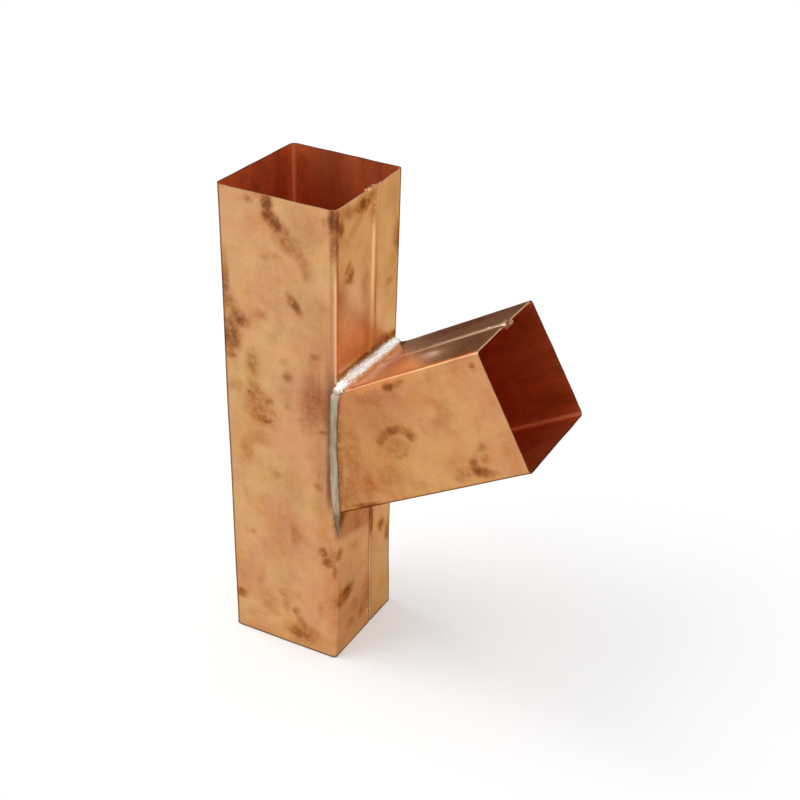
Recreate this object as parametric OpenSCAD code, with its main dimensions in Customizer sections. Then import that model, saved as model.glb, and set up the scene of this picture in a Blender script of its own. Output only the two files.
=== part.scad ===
// A square copper downpipe branch: a straight pipe with a side branch soldered on.
// Both pipes are one sheet each, folded square and closed by a lengthwise lock seam.
// The origin is on the main pipe's axis at its lower end, +Z runs up the pipe,
// +X points to the side that carries the branch and -Y is the front.

/* [Pipe section] */
// Outside width of both square pipes
pipe_side = 60; // [50:1:80]
// Thickness of the copper sheet
sheet_t = 0.6; // [0.5:0.05:0.8]

/* [Main pipe] */
// Outside radius of the main pipe's four lengthwise bends
main_bend_r = 3; // [2:0.5:5]
// Length of the main pipe
main_h = 250; // [220:5:400]
// Distance from the front face to the groove of the main pipe's seam
main_seam_at = 36; // [30:1:40]

/* [Branch pipe] */
// Outside radius of the branch's four lengthwise bends
branch_bend_r = 2.3; // [1.3:0.5:4.3]
// Height at which the branch's axis meets the side of the main pipe
branch_z = 125; // [105:1:140]
// Angle between the axes of the two pipes
branch_tilt = 60; // [50:1:75]
// Length of the branch along its axis, from the main pipe's side to the mouth
branch_len = 100; // [75:1:160]
// Distance from the front face to the groove of the branch's seam
branch_seam_at = 34; // [22:1:36]

/* [Lock seam] */
// Overall width of the hooked folds
seam_lap = 7.5; // [6:0.5:10]
// Clearance between the layers of the folds
seam_gap = 0.12; // [0.08:0.01:0.16]
// Radius of the ball punch that stakes the seam
punch_r = 1.6; // [1.2:0.1:2.4]
// Depth of the punch mark
punch_depth = 0.35; // [0.2:0.05:0.5]
// Distance from the rim to the punch mark
punch_from_rim = 10; // [6:1:20]
// Distance from the seam's groove to the punch mark
punch_from_groove = 2.2; // [1.8:0.1:3.5]

/* [Opening in the main pipe] */
// Width of the rim of main pipe wall that is left standing inside the branch
opening_ledge = 4; // [3:0.5:8]
// Radius of the opening's corners
opening_r = 4; // [2:0.5:8]

/* [Solder] */
// Leg of the heavy bead on top of the branch
top_bead_r = 5; // [3:0.5:7]
// Radius of the bead where it turns the corner
corner_bead_r = 2.6; // [2:0.1:3]
// Width of the bead down each side
side_bead_w = 6; // [5:0.5:7]
// Height of the side bead above the flush walls
side_bead_h = 0.8; // [0.5:0.1:1.2]
// How far the side bead's middle lies off the joint, towards the main pipe
side_bead_shift = 0.8; // [0:0.1:1.2]
// Length of the run of solder down the bend below the branch
tail_len = 12; // [6:1:20]
// Thickness of that run at its lower end
tail_tip = 0.15; // [0.1:0.05:0.3]
// Leg of the thin bead under the branch
under_bead_r = 1.2; // [0.8:0.1:2]

/* [Hidden] */
$fn = 64;
eps = 1;
half = pipe_side / 2;
copper = [0.80, 0.56, 0.38];
solder = [0.78, 0.78, 0.75];

// The folds turn round this outside radius, which leaves one layer and two gaps inside
fold_r = (3 * sheet_t + 2 * seam_gap) / 2;
// The two halves of the groove turn inwards about these lines beside its middle
fold_off = fold_r + seam_gap / 2;
// Straight length of each hooked layer
hook_len = seam_lap - 2 * fold_r;
// The four layers of the seam stand this deep under the pipe's face
seam_depth = 4 * sheet_t + 3 * seam_gap;

// Half the height of the branch's outline where it meets the main pipe's side
foot_half = half / sin(branch_tilt);
foot_top = branch_z + foot_half;
foot_bottom = branch_z - foot_half;
// The slanted tube starts this far behind the joint before its end is cut to the mitre
mitre_back = half / tan(branch_tilt) + eps;

// The side bead's crown is an arc of this radius
crown_r = (pow(side_bead_w / 2, 2) + pow(side_bead_h, 2)) / (2 * side_bead_h);
// Solder fills the hollow beside the main pipe's bend this far in from the front
fill_depth = 3 * sheet_t;

// Square with rounded corners, centred
module rounded_square(w, h, r) {
    square([w - 2 * r, h], center = true);
    square([w, h - 2 * r], center = true);
    for (sx = [-1, 1], sy = [-1, 1])
        translate([sx * (w / 2 - r), sy * (h / 2 - r)]) circle(r);
}

// Quarter of a bend in the sheet, from the +X direction round to +Y
module quarter_bend(outer_r) {
    difference() {
        intersection() {
            circle(outer_r);
            square(outer_r);
        }
        circle(outer_r - sheet_t);
    }
}

// Flat stretch of sheet in the seam: its outer side lies depth under the pipe's face
module layer(depth, from_y, to_y) {
    translate([half - depth - sheet_t, from_y]) square([sheet_t, to_y - from_y]);
}

// Folded section of one pipe, with the seam in its +X wall and the hooks on the groove's -Y side
module folded_section(groove_y, bend_r) {
    hook_y = groove_y - fold_off;
    shoulder_y = groove_y + fold_off;
    return_y = hook_y - hook_len;
    under = 2 * fold_r + seam_gap;

    difference() {
        rounded_square(pipe_side, pipe_side, bend_r);
        rounded_square(pipe_side - 2 * sheet_t, pipe_side - 2 * sheet_t, bend_r - sheet_t);
        translate([half - bend_r, hook_y]) square([bend_r + eps, shoulder_y - hook_y]);
    }

    // The outer sheet turns back on itself and ends in a hook
    translate([half - fold_r, hook_y]) {
        quarter_bend(fold_r);
        rotate(90) quarter_bend(fold_r);
    }
    layer(2 * fold_r - sheet_t, return_y, hook_y);

    // The other sheet dips at the groove, runs under the hook and turns back inside it
    translate([half - fold_r, shoulder_y]) rotate(-90) quarter_bend(fold_r);
    translate([half - fold_r, hook_y]) rotate(90) quarter_bend(fold_r + seam_gap + sheet_t);
    layer(under, return_y, hook_y);
    translate([half - fold_r - seam_gap - sheet_t, return_y]) {
        rotate(180) quarter_bend(fold_r);
        rotate(-90) quarter_bend(fold_r);
    }
    layer(sheet_t + seam_gap, return_y, hook_y);
}

// Ball that dents the outer layer beside the seam's groove
module punch_mark(groove_y, z) {
    translate([half + punch_r - punch_depth, groove_y - punch_from_groove, z]) sphere(punch_r);
}

// Puts a pipe that stands on its end onto the branch's axis, seam side up
module on_branch_axis() {
    translate([half, 0, branch_z]) rotate([0, branch_tilt, 0]) rotate(180) children();
}

// Everything on the main pipe's side of the joint
module main_side() {
    translate([-2 * pipe_side, -pipe_side, -main_h])
        cube([2 * pipe_side + half, 2 * pipe_side, 3 * main_h]);
}

// Space inside the main pipe's outer faces
module main_envelope() {
    linear_extrude(main_h) rounded_square(pipe_side, pipe_side, main_bend_r);
}

// Space inside the branch's outer faces, cut to the mitre
module branch_envelope() {
    difference() {
        on_branch_axis()
            translate([0, 0, -mitre_back])
                linear_extrude(branch_len + mitre_back)
                    rounded_square(pipe_side, pipe_side, branch_bend_r);
        main_side();
    }
}

// Opening through the main pipe's side, inside the branch
module opening() {
    translate([half - seam_depth - eps, 0, branch_z])
        rotate([90, 0, 90])
            linear_extrude(seam_depth + 2 * eps)
                rounded_square(
                    pipe_side - 2 * opening_ledge,
                    2 * (foot_half - opening_ledge),
                    opening_r
                );
}

module main_pipe() {
    groove_y = main_seam_at - half;
    color(copper)
        difference() {
            linear_extrude(main_h) folded_section(groove_y, main_bend_r);
            opening();
            punch_mark(groove_y, punch_from_rim);
            punch_mark(groove_y, main_h - punch_from_rim);
        }
}

module branch_pipe() {
    groove_y = half - branch_seam_at;
    color(copper)
        difference() {
            on_branch_axis()
                difference() {
                    translate([0, 0, -mitre_back])
                        linear_extrude(branch_len + mitre_back)
                            folded_section(groove_y, branch_bend_r);
                    punch_mark(groove_y, branch_len - punch_from_rim);
                }
            main_side();
        }
}

// Heavy bead across the top of the branch, narrower where it turns the corners
module top_bead() {
    turn = top_bead_r - corner_bead_r;
    straight = half - turn;
    translate([half, 0, foot_top]) rotate([90, 0, 0]) {
        cylinder(h = 2 * straight, r = top_bead_r, center = true);
        for (side = [0, 1])
            mirror([0, 0, side])
                translate([0, 0, straight])
                    cylinder(h = turn + side_bead_h, r1 = top_bead_r, r2 = corner_bead_r);
    }
}

// Low bead down the front joint, feathered at its foot, and the run of solder round the bend below
module side_bead() {
    foot = side_bead_w / 2;
    intersection() {
        translate([half - side_bead_shift, crown_r - half - side_bead_h, foot_bottom]) {
            cylinder(h = foot, r1 = crown_r - side_bead_h / 2, r2 = crown_r);
            translate([0, 0, foot]) cylinder(h = 2 * foot_half - foot, r = crown_r);
        }
        translate([half - side_bead_w, -half - side_bead_h, foot_bottom])
            cube([2 * side_bead_w, side_bead_h + fill_depth, 2 * foot_half]);
    }
    translate([half - main_bend_r, main_bend_r - half, foot_bottom - tail_len])
        cylinder(
            h = tail_len + main_bend_r,
            r1 = main_bend_r + tail_tip,
            r2 = main_bend_r + side_bead_h
        );
}

// Thin bead along the underside of the branch
module under_bead() {
    translate([half, 0, foot_bottom])
        rotate([90, 0, 0]) cylinder(h = pipe_side, r = under_bead_r, center = true);
}

// The hollow beside each bend stays empty behind the depth that solder reaches
module unfilled_hollow() {
    reach = half - fill_depth;
    past_ends = sheet_t / 2;
    translate([half - main_bend_r, -reach, foot_bottom - past_ends])
        cube([main_bend_r, 2 * reach, 2 * (foot_half + past_ends)]);
}

module solder_bead() {
    color(solder)
        difference() {
            union() {
                top_bead();
                side_bead();
                mirror([0, 1, 0]) side_bead();
                under_bead();
            }
            main_envelope();
            branch_envelope();
            unfilled_hollow();
        }
}

main_pipe();
branch_pipe();
solder_bead();
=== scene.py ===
from math import cos, hypot, radians, sin, tan

import bmesh
import bpy
from mathutils import Matrix, Vector, noise


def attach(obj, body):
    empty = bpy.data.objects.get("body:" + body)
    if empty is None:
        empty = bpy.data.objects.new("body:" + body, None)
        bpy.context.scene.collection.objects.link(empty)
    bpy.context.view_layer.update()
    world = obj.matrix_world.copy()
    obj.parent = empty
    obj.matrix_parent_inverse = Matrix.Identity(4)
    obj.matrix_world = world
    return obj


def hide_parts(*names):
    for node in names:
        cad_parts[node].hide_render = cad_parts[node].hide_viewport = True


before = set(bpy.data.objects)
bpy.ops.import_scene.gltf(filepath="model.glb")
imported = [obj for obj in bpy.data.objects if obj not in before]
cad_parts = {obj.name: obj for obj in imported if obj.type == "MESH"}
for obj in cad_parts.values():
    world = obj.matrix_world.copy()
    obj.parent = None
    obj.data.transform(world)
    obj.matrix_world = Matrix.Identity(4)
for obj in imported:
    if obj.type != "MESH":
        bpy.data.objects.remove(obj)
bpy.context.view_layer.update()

# A square copper downpipe with a side branch soldered on, seen from the front and a little above.
# Lengths are in millimetres here and go into the meshes as metres.
MM = 0.001

# Half the outside width of both pipes, the sheet's thickness, and the radius of the bends
HALF = 30.0
SHEET = 0.6
MAIN_BEND = 3.0
BRANCH_BEND = 2.3
# The main pipe's length, where the branch's axis meets its side, and the branch's length
MAIN_TOP = 250.0
JOINT = Vector((30.0, 0.0, 125.0))
BRANCH_LEN = 100.0
# Heights at which the top and the bottom of the branch meet the main pipe
FOOT_TOP = 159.64
FOOT_BOTTOM = 90.36
# How far back from the middle each seam's groove runs, and half the groove's width
MAIN_GROOVE = 6.0
BRANCH_GROOVE = 4.0
GROOVE_HALF = 1.1
# The branch's axis rises by this angle; its own directions are along, across and sideways
RISE = radians(30)
ALONG = Vector((cos(RISE), 0.0, sin(RISE)))
ACROSS = Vector((-sin(RISE), 0.0, cos(RISE)))
SIDEWAYS = Vector((0.0, 1.0, 0.0))

# How far the hand-folded corners lie from the drawn ones. The main pipe's go by side in x, side
# in y and end (0 foot, 1 top); the branch's mouth by side in y and side across its axis, and their
# numbers are along the axis, sideways and across.
MAIN_CORNERS = {
    (-1, -1, 0): (-0.17, -0.19, 0.0),
    (1, -1, 0): (0.65, 1.9, 0.0),
    (1, 1, 0): (0.21, 0.67, 0.0),
    (-1, -1, 1): (-1.42, -1.18, -0.24),
    (-1, 1, 1): (0.35, 0.51, 0.65),
    (1, -1, 1): (1.34, 0.48, -0.75),
    (1, 1, 1): (1.34, 0.5, 0.47),
}
MOUTH_CORNERS = {
    (-1, -1): (-0.24, -0.32, -0.37),
    (-1, 1): (0.26, 0.18, 0.01),
    (1, -1): (-0.55, -0.22, 0.34),
    (1, 1): (-0.77, -0.3, 0.73),
}
# How far the main pipe's right back corner is drawn in behind the branch by the heat.
WAIST = Vector((-0.5, -1.0, 0.0))
# How far the branch's top and back corner sits lower where it leaves the solder.
BACK_DIP = -1.0
# How far the branch's seam runs from where it is drawn.
SEAM_SHIFT = -3.8


def ease(value, low, high):
    """0 below low, 1 above high and a smooth climb between them."""
    share = min(1.0, max(0.0, (value - low) / (high - low)))
    return share * share * (3 - 2 * share)


def hump(value, first, last, edge):
    """1 between first and last, falling to 0 over edge on both sides."""
    return ease(value, first - edge, first) * (1 - ease(value, last, last + edge))


def drift(point, size, seed):
    """Smooth random number from -1 to 1 that changes over the given distance."""
    return noise.noise(point / size + Vector((seed * 7.31, seed * 3.17, seed * 5.53)))


def to_branch(p):
    """Distance along the branch's axis, across it and above it."""
    q = p - JOINT
    return Vector((q.dot(ALONG), q.y, q.dot(ACROSS)))


def main_lean(p):
    """How far the main pipe's corners have carried the sheet at p."""
    x, y, z = p.x / HALF, p.y / HALF, p.z / MAIN_TOP
    push = Vector((0.0, 0.0, 0.0))
    for (side_x, side_y, end), lean in MAIN_CORNERS.items():
        share = (1 + side_x * x) * (1 + side_y * y) / 4
        push += share * (z if end else 1 - z) * Vector(lean)
    drawn_in = ease(p.z, 0.0, 50.0) * (1 - ease(p.z, 60.0, MAIN_TOP))
    return push + (1 + x) * (1 + y) / 4 * drawn_in * WAIST


def out_of_square(p):
    """How far the corners of both pipes have carried the sheet or solder at p."""
    if p.x <= HALF:
        return main_lean(p)
    u, y, v = to_branch(p)
    from_joint = u - v * tan(RISE)
    share = from_joint / (BRANCH_LEN - v * tan(RISE))
    push = (1 - share) * main_lean(p - from_joint * ALONG)
    for (side_y, side_v), lean in MOUTH_CORNERS.items():
        weight = share * (1 + side_y * y / HALF) * (1 + side_v * v / HALF) / 4
        push += weight * (lean[0] * ALONG + lean[1] * SIDEWAYS + lean[2] * ACROSS)
    dip = (1 - share) * ease(from_joint, 0.0, 8.0) * (1 + y / HALF) * (1 + v / HALF) / 4
    return push + dip * BACK_DIP * ACROSS


def hand_folded(p):
    """How far hand folding and soldering have pushed the sheet at p out of true."""
    push = Vector((0.0, 0.0, 0.0))
    for size, reach, seed in ((58.0, 0.2, 1), (19.0, 0.06, 5)):
        push += reach * Vector([drift(p, size, seed + axis) for axis in range(3)])
    push.z *= 0.5 * ease(p.z, 0.0, 12.0)
    return push + out_of_square(p)


def pressed_foot(p):
    """How far the front bend is pressed out to a sharper corner where the pipe stands."""
    flat = HALF - MAIN_BEND
    across, towards = p.x - flat, -p.y - flat
    if across <= 0 or towards <= 0:
        return Vector((0.0, 0.0, 0.0))
    reach = hypot(across, towards)
    fuller = ((across / reach) ** 4 + (towards / reach) ** 4) ** -0.25 - 1
    return fuller * (1 - ease(p.z, 0.0, 30.0)) * Vector((across, -towards, 0.0))


def main_end(p):
    """How the main pipe's rims wave, and how its seam stands up at the top."""
    upper = ease(p.z, MAIN_TOP - 14, MAIN_TOP)
    lower = 1 - ease(p.z, 0.0, 10.0)
    wave = 0.14 * upper + 0.1 * lower
    push = wave * Vector((drift(p, 11.0, 11), drift(p, 11.0, 12), 0.0))
    push.z += 0.14 * upper * drift(p, 9.0, 13)
    if p.x > HALF - 4:
        push.z -= 0.5 * upper * hump(p.y, MAIN_GROOVE - 6, MAIN_GROOVE + 6, 6.5)
        pinch = ease(p.z, MAIN_TOP - 6, MAIN_TOP)
        outer = 1 - ease(HALF - p.x, 0.7, 1.3)
        near = hump(p.y, MAIN_GROOVE - 6.6, MAIN_GROOVE - 0.5, 0.5)
        far = hump(p.y, MAIN_GROOVE + 1.1, MAIN_GROOVE + 3.9, 0.5)
        lift = 0.75 + 0.35 * ease(p.y, MAIN_GROOVE - 6, MAIN_GROOVE - 1)
        push.x += pinch * (0.45 * near * outer + 0.1 * far)
        push.z += pinch * (near * (lift * outer - 0.3 * (1 - outer)) + 0.55 * far)
        push.z += 0.16 * pinch * (near + far) * drift(p, 1.6, 14)
    return push


def branch_end(p):
    """How the branch's mouth waves, where its seam runs, and how the seam ends unevenly."""
    u, y, v = to_branch(p)
    near = ease(u, BRANCH_LEN - 12, BRANCH_LEN)
    push = 0.16 * near * (drift(p, 10.0, 21) * SIDEWAYS + drift(p, 10.0, 22) * ACROSS)
    push += 0.16 * near * drift(p, 8.0, 23) * ALONG
    if v > HALF - 4:
        push += SEAM_SHIFT * hump(y, BRANCH_GROOVE - 6, BRANCH_GROOVE + 11, 9.0) * SIDEWAYS
        pinch = ease(u, BRANCH_LEN - 5, BRANCH_LEN)
        over = hump(y, BRANCH_GROOVE + 0.2, BRANCH_GROOVE + 7.2, 0.4)
        before = hump(y, BRANCH_GROOVE - 4.0, BRANCH_GROOVE - 0.6, 1.5)
        outer = 1 - ease(HALF - v, 0.7, 1.3)
        push += pinch * (over * (0.35 * outer + 0.05 * (1 - outer)) - 0.2 * before) * ACROSS
        push += pinch * over * (0.15 * outer - 0.4 * (1 - outer)) * ALONG
        push += 0.3 * pinch * (over + before) * drift(p, 1.7, 24) * ALONG
        push += 0.25 * pinch * (over + before) * drift(p, 2.1, 25) * ACROSS
    return push


def sliced(node, cuts):
    """A welded copy of a CAD part in mm, cut on many planes so that it can bend."""
    shape = bmesh.new()
    shape.from_mesh(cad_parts[node].data)
    bmesh.ops.scale(shape, vec=(1 / MM,) * 3, verts=shape.verts)
    bmesh.ops.remove_doubles(shape, verts=shape.verts, dist=0.001)
    bmesh.ops.dissolve_limit(
        shape, angle_limit=radians(0.3), verts=shape.verts, edges=shape.edges
    )
    for start, facing, places in cuts:
        for place in places:
            bmesh.ops.bisect_plane(
                shape,
                geom=shape.verts[:] + shape.edges[:] + shape.faces[:],
                dist=0.0005,
                plane_co=start + facing * place,
                plane_no=facing,
            )
    return shape


# The finishes of a pipe's sheet, in the order of its materials
OUTER, INNER, EDGE = range(3)


def on_outside(across, up, bend):
    """Whether a spot of a pipe's wall belongs to its outer side."""
    flat = HALF - bend
    return hypot(max(abs(across) - flat, 0.0), max(abs(up) - flat, 0.0)) > bend - SHEET / 2


def spread(first, last, step):
    """Even places from first to last, about step apart."""
    count = max(1, round((last - first) / step))
    return [first + (last - first) * i / count for i in range(count + 1)]


def bent(shape, *pushes):
    """Moves every vertex by the pushes at its place, and notes where it was drawn."""
    drawn = shape.verts.layers.float_vector.new("as_drawn")
    for vertex in shape.verts:
        place = vertex.co.copy()
        vertex[drawn] = place
        for push in pushes:
            vertex.co += push(place)


def piece(name, shape, stands_for, finishes):
    """Turns a mesh in mm into a piece of the object."""
    mesh = bpy.data.meshes.new(name)
    bmesh.ops.scale(shape, vec=(MM,) * 3, verts=shape.verts)
    shape.to_mesh(mesh)
    shape.free()
    made = bpy.data.objects.new(name, mesh)
    bpy.context.scene.collection.objects.link(made)
    for finish in finishes:
        mesh.materials.append(finish)
    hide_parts(stands_for)
    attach(made, "root")
    return made


def smooth_but_creased(mesh, degrees):
    mesh.shade_smooth()
    mesh.set_sharp_from_angle(angle=radians(degrees))


class Signal:
    """A number that varies over a finish; sums with it add Math nodes."""

    def __init__(self, graph, socket):
        self.graph = graph
        self.socket = socket

    def _with(self, operation, first, second=0.0):
        made = self.graph.node("Math", {"operation": operation}, {0: first, 1: second})
        return Signal(self.graph, made.outputs[0])

    def __add__(self, other):
        return self._with("ADD", self, other)

    __radd__ = __add__

    def __sub__(self, other):
        return self._with("SUBTRACT", self, other)

    def __rsub__(self, other):
        return self._with("SUBTRACT", other, self)

    def __mul__(self, other):
        return self._with("MULTIPLY", self, other)

    __rmul__ = __mul__

    def __neg__(self):
        return self._with("MULTIPLY", self, -1.0)

    def __abs__(self):
        return self._with("ABSOLUTE", self)

    def lower_of(self, other):
        return self._with("MINIMUM", self, other)

    def higher_of(self, other):
        return self._with("MAXIMUM", self, other)


class Graph:
    """A tree of shader nodes."""

    def __init__(self, tree):
        self.tree = tree
        tree.nodes.clear()

    def node(self, kind, settings=None, inputs=None):
        """Any shader node: its settings first, then the values or links of its sockets."""
        made = self.tree.nodes.new("ShaderNode" + kind)
        for setting, value in (settings or {}).items():
            setattr(made, setting, value)
        for socket, value in (inputs or {}).items():
            if isinstance(value, Signal):
                value = value.socket
            if isinstance(value, bpy.types.NodeSocket):
                self.tree.links.new(value, made.inputs[socket])
            else:
                made.inputs[socket].default_value = value
        return made

    def vector(self, operation, first, second=(0, 0, 0), scale=1.0):
        made = self.node("VectorMath", {"operation": operation}, {0: first, 1: second, 3: scale})
        return made.outputs[0]

    def grey(self, level):
        return self.node("CombineXYZ", inputs={0: level, 1: level, 2: level}).outputs[0]

    def climb(self, signal, low, high):
        """0 where signal is at low or beyond, 1 at high, smooth between; low may be the higher."""
        made = self.node(
            "MapRange",
            {"interpolation_type": "SMOOTHSTEP"},
            {"Value": signal, "From Min": low, "From Max": high, "To Min": 0.0, "To Max": 1.0},
        )
        return Signal(self, made.outputs[0])

    def blended(self, share, first, second, how="MIX"):
        """The colour first, turned by share into second; how names another way to blend."""
        made = self.node(
            "Mix",
            {"data_type": "RGBA", "blend_type": how, "clamp_factor": True},
            {0: share, 6: first, 7: second},
        )
        return made.outputs[2]

    def tinted(self, share, colour, tint):
        """The colour, multiplied by the tint where share is 1."""
        return self.blended(share, colour, tint, "MULTIPLY")

    def dimmed(self, colour, level):
        """The colour times a grey level."""
        return self.tinted(1.0, colour, self.grey(level))

    def seen(self):
        """1 for the camera and for what it sees off metal or through glass, else 0."""
        path = self.node("LightPath").outputs
        kinds = ("Is Camera Ray", "Is Glossy Ray", "Is Transmission Ray")
        camera, glossy, through = (Signal(self, path[kind]) for kind in kinds)
        return camera.higher_of(glossy).higher_of(through)


class Finish(Graph):
    """A procedural surface, built up from signals and colours."""

    def __init__(self, name):
        self.material = bpy.data.materials.new(name)
        self.material.use_nodes = True
        super().__init__(self.material.node_tree)
        self.surface = self.node("BsdfPrincipled")
        self.node("OutputMaterial", inputs={0: self.surface.outputs[0]})

    def place(self):
        """The point as drawn, in mm, before the sheet was bent out of true."""
        return self.node("Attribute", {"attribute_name": "as_drawn"}).outputs["Vector"]

    def branch_place(self):
        """The point as drawn, along the branch's axis, across it and above it."""
        return self.turned(self.place(), tuple(JOINT), (0, -RISE, 0))

    def turned(self, where, centre, turn=(0, 0, 0), size=(1, 1, 1)):
        """where, seen from a centre, in turned axes and in units of size."""
        made = self.node(
            "Mapping",
            {"vector_type": "TEXTURE"},
            {"Vector": where, "Location": centre, "Rotation": turn, "Scale": size},
        )
        return made.outputs[0]

    def part_of(self, where):
        parts = self.node("SeparateXYZ", inputs={0: where}).outputs
        return [Signal(self, part) for part in parts]

    def grain(self, where, size, detail=2.0, rough=0.5, seed=0.0, bend=0.0):
        """Noise from 0 to 1; size is one number in mm, or one for each direction."""
        sizes = size if isinstance(size, tuple) else (size,) * 3
        at = self.turned(where, (seed * 3.7, seed * 5.1, seed * 2.3), size=sizes)
        made = self.node(
            "TexNoise",
            {"noise_dimensions": "3D"},
            {"Vector": at, "Scale": 1.0, "Detail": detail, "Roughness": rough, "Distortion": bend},
        )
        return Signal(self, made.outputs[0])

    def patches(self, where, size, low, high, seed, detail=4.0):
        """Patches that lie anywhere: 0 in most places, up to 1 in their middles."""
        return self.climb(self.grain(where, size, detail, 0.64, seed, 0.4), low, high)

    def shaken(self, where, size, reach, seed=0.0):
        """where, moved about at random so that marks get uneven edges."""
        at = self.turned(where, (seed * 2.9, seed * 4.3, seed * 6.1), size=(size,) * 3)
        made = self.node("TexNoise", inputs={"Vector": at, "Scale": 1.0, "Detail": 2.0})
        centred = self.vector("SUBTRACT", made.outputs[1], (0.5, 0.5, 0.5))
        return self.vector("ADD", where, self.vector("SCALE", centred, scale=reach))

    def smudge(self, where, centre, sizes, turn=(0, 0, 0)):
        """Soft egg-shaped mark: 1 at its centre, 0 outside its sizes."""
        at = self.turned(where, centre, turn, sizes)
        made = self.node("TexGradient", {"gradient_type": "SPHERICAL"}, {"Vector": at})
        return self.climb(Signal(self, made.outputs["Fac"]), 0.0, 0.9)

    def done(self, colour, metallic, roughness, height, **same_everywhere):
        """The finished material; height is in mm, and the rest are constants by socket name."""
        bump = self.node("Bump", inputs={"Height": height, "Distance": MM, "Strength": 1.0})
        shader = self.surface
        self.tree.links.new(colour, shader.inputs["Base Color"])
        self.tree.links.new(metallic.socket, shader.inputs["Metallic"])
        self.tree.links.new(roughness.socket, shader.inputs["Roughness"])
        self.tree.links.new(bump.outputs[0], shader.inputs["Normal"])
        for socket, value in same_everywhere.items():
            shader.inputs[socket.replace("_", " ")].default_value = value
        return self.material


def rgb(red, green, blue):
    return (red, green, blue, 1.0)


# What stained copper still reflects where it is seen along its surface
GRAZING_TINT = rgb(0.42, 0.28, 0.2)
# What the films on the copper leave of its colour, and the colour of painted shade (COOL_SHADE)
ROSY_FILM = rgb(0.77, 0.63, 0.65)
HEAT_TINT = rgb(0.82, 0.63, 0.5)
THIN_BROWN = rgb(0.74, 0.6, 0.5)
THICK_BROWN = rgb(0.5, 0.42, 0.38)
# Painted shade: what shade along bends, seams, the foot and beside the side bead leaves of the
# colour
COOL_SHADE = rgb(0.3, 0.31, 0.36)
SOOT = rgb(0.6, 0.48, 0.42)

# Marks on a face: middle along and across the face, half length, half width, turn in degrees,
# depth from 0 to 1. Front faces are read along x (or the branch's axis) and up,
# the main pipe's right face along y and up, the branch's top along the axis and y.
MAIN_FRONT_BROWN = [
    (-3.8, 246.4, 4.2, 2.0, -89, 1),
    (-3.0, 240.8, 3.0, 2.2, -63, 0.9),
    (0.4, 237.3, 4.3, 2.5, -43, 0.85),
    (4.8, 234.5, 2.2, 2.1, -18, 0.55),
    (5.7, 229.0, 6.6, 3.6, -36, 0.5),
    (11.6, 226.0, 7.6, 2.8, -64, 0.4),
    (15.0, 216.6, 3.7, 1.9, -74, 0.3),
    (-13.3, 246.6, 2.1, 1.4, 13, 0.45),
    (-8.2, 249.6, 5.4, 1.5, 1, 0.25),
    (-2.6, 221.0, 4.7, 1.4, 14, 0.3),
    (9.1, 199.6, 4.5, 1.7, -54, 0.7),
    (12.1, 196.3, 1.8, 1.5, -56, 0.35),
    (-8.2, 189.8, 3.3, 2.2, 15, 0.35),
    (-26.8, 200.3, 13.4, 1.6, -90, 0.6),
    (-24.1, 191.7, 6.7, 2.9, -72, 0.5),
    (-20.6, 184.8, 4.6, 3.1, -27, 0.75),
    (-24.9, 174.7, 9.1, 4.4, 87, 0.75),
    (-24.8, 164.5, 2.3, 1.6, 16, 0.7),
    (-13.5, 162.3, 7.5, 3.3, -87, 0.5),
    (-11.2, 148.8, 6.6, 2.6, -46, 0.45),
    (-5.4, 143.9, 2.0, 1.6, 17, 0.6),
    (-14.6, 146.1, 2.6, 1.2, -36, 0.6),
    (-11.5, 140.4, 7.1, 6.6, -36, 0.4),
    (-9.5, 134.3, 5.2, 3.6, -3, 0.45),
    (-6.3, 133.0, 2.8, 1.0, 30, 0.65),
    (-3.4, 138.4, 1.7, 1.6, 17, 0.4),
    (-22.3, 148.3, 5.0, 2.8, 7, 0.35),
    (-18.7, 112.4, 8.8, 3.4, 88, 0.25),
    (-9.9, 122.8, 6.4, 3.0, 3, 0.2),
    (5.3, 160.8, 2.2, 2.0, 47, 0.5),
    (3.3, 167.7, 1.7, 1.5, 16, 0.25),
    (20.1, 175.8, 2.1, 1.3, 16, 0.4),
    (4.4, 144.1, 1.7, 1.3, 17, 0.3),
    (12.3, 139.4, 1.7, 1.1, 17, 0.3),
    (13.9, 136.6, 1.4, 1.2, -16, 0.3),
    (22.5, 135.6, 3.0, 0.7, 18, 0.5),
    (19.5, 149.5, 14.0, 6.0, 89, 0.42),
    (24.0, 147.5, 10.0, 2.4, 89, 0.45),
    (-3.2, 103.5, 2.4, 2.2, 19, 0.35),
    (20.6, 103.9, 1.6, 1.6, 19, 0.45),
    (7.3, 71.1, 6.4, 2.4, -81, 0.35),
    (-17.2, 64.1, 1.0, 0.9, 20, 0.4),
    (-10.9, 59.5, 2.5, 2.4, 20, 0.25),
    (23.7, 65.4, 2.6, 2.2, -70, 0.65),
    (25.9, 60.7, 2.8, 2.3, 47, 0.75),
    (28.2, 65.2, 4.3, 1.7, 90, 0.4),
    (-22.1, 30.4, 6.6, 4.3, 88, 0.2),
    (-12.9, 34.6, 7.8, 1.8, 88, 0.25),
    (-25.5, 21.9, 2.7, 2.5, 21, 0.7),
    (-8.5, 23.2, 7.8, 6.1, 21, 0.2),
    (0.1, 31.1, 3.1, 3.0, -44, 0.3),
    (1.7, 24.6, 4.0, 2.4, 89, 0.35),
    (-10.4, 20.5, 3.9, 3.1, 21, 0.25),
    (7.0, 22.1, 2.0, 1.9, -29, 0.55),
    (10.5, 16.2, 4.9, 2.2, -58, 0.45),
    (9.2, 8.3, 6.4, 4.0, -7, 0.5),
    (16.9, 11.5, 3.1, 3.1, 61, 0.45),
    (21.7, 27.9, 4.6, 1.7, 90, 0.3),
    (25.0, 243.7, 1.9, 1.4, 90, 0.35),
    (16.9, 119.5, 6.9, 2.2, 89, 0.18),
]
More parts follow.
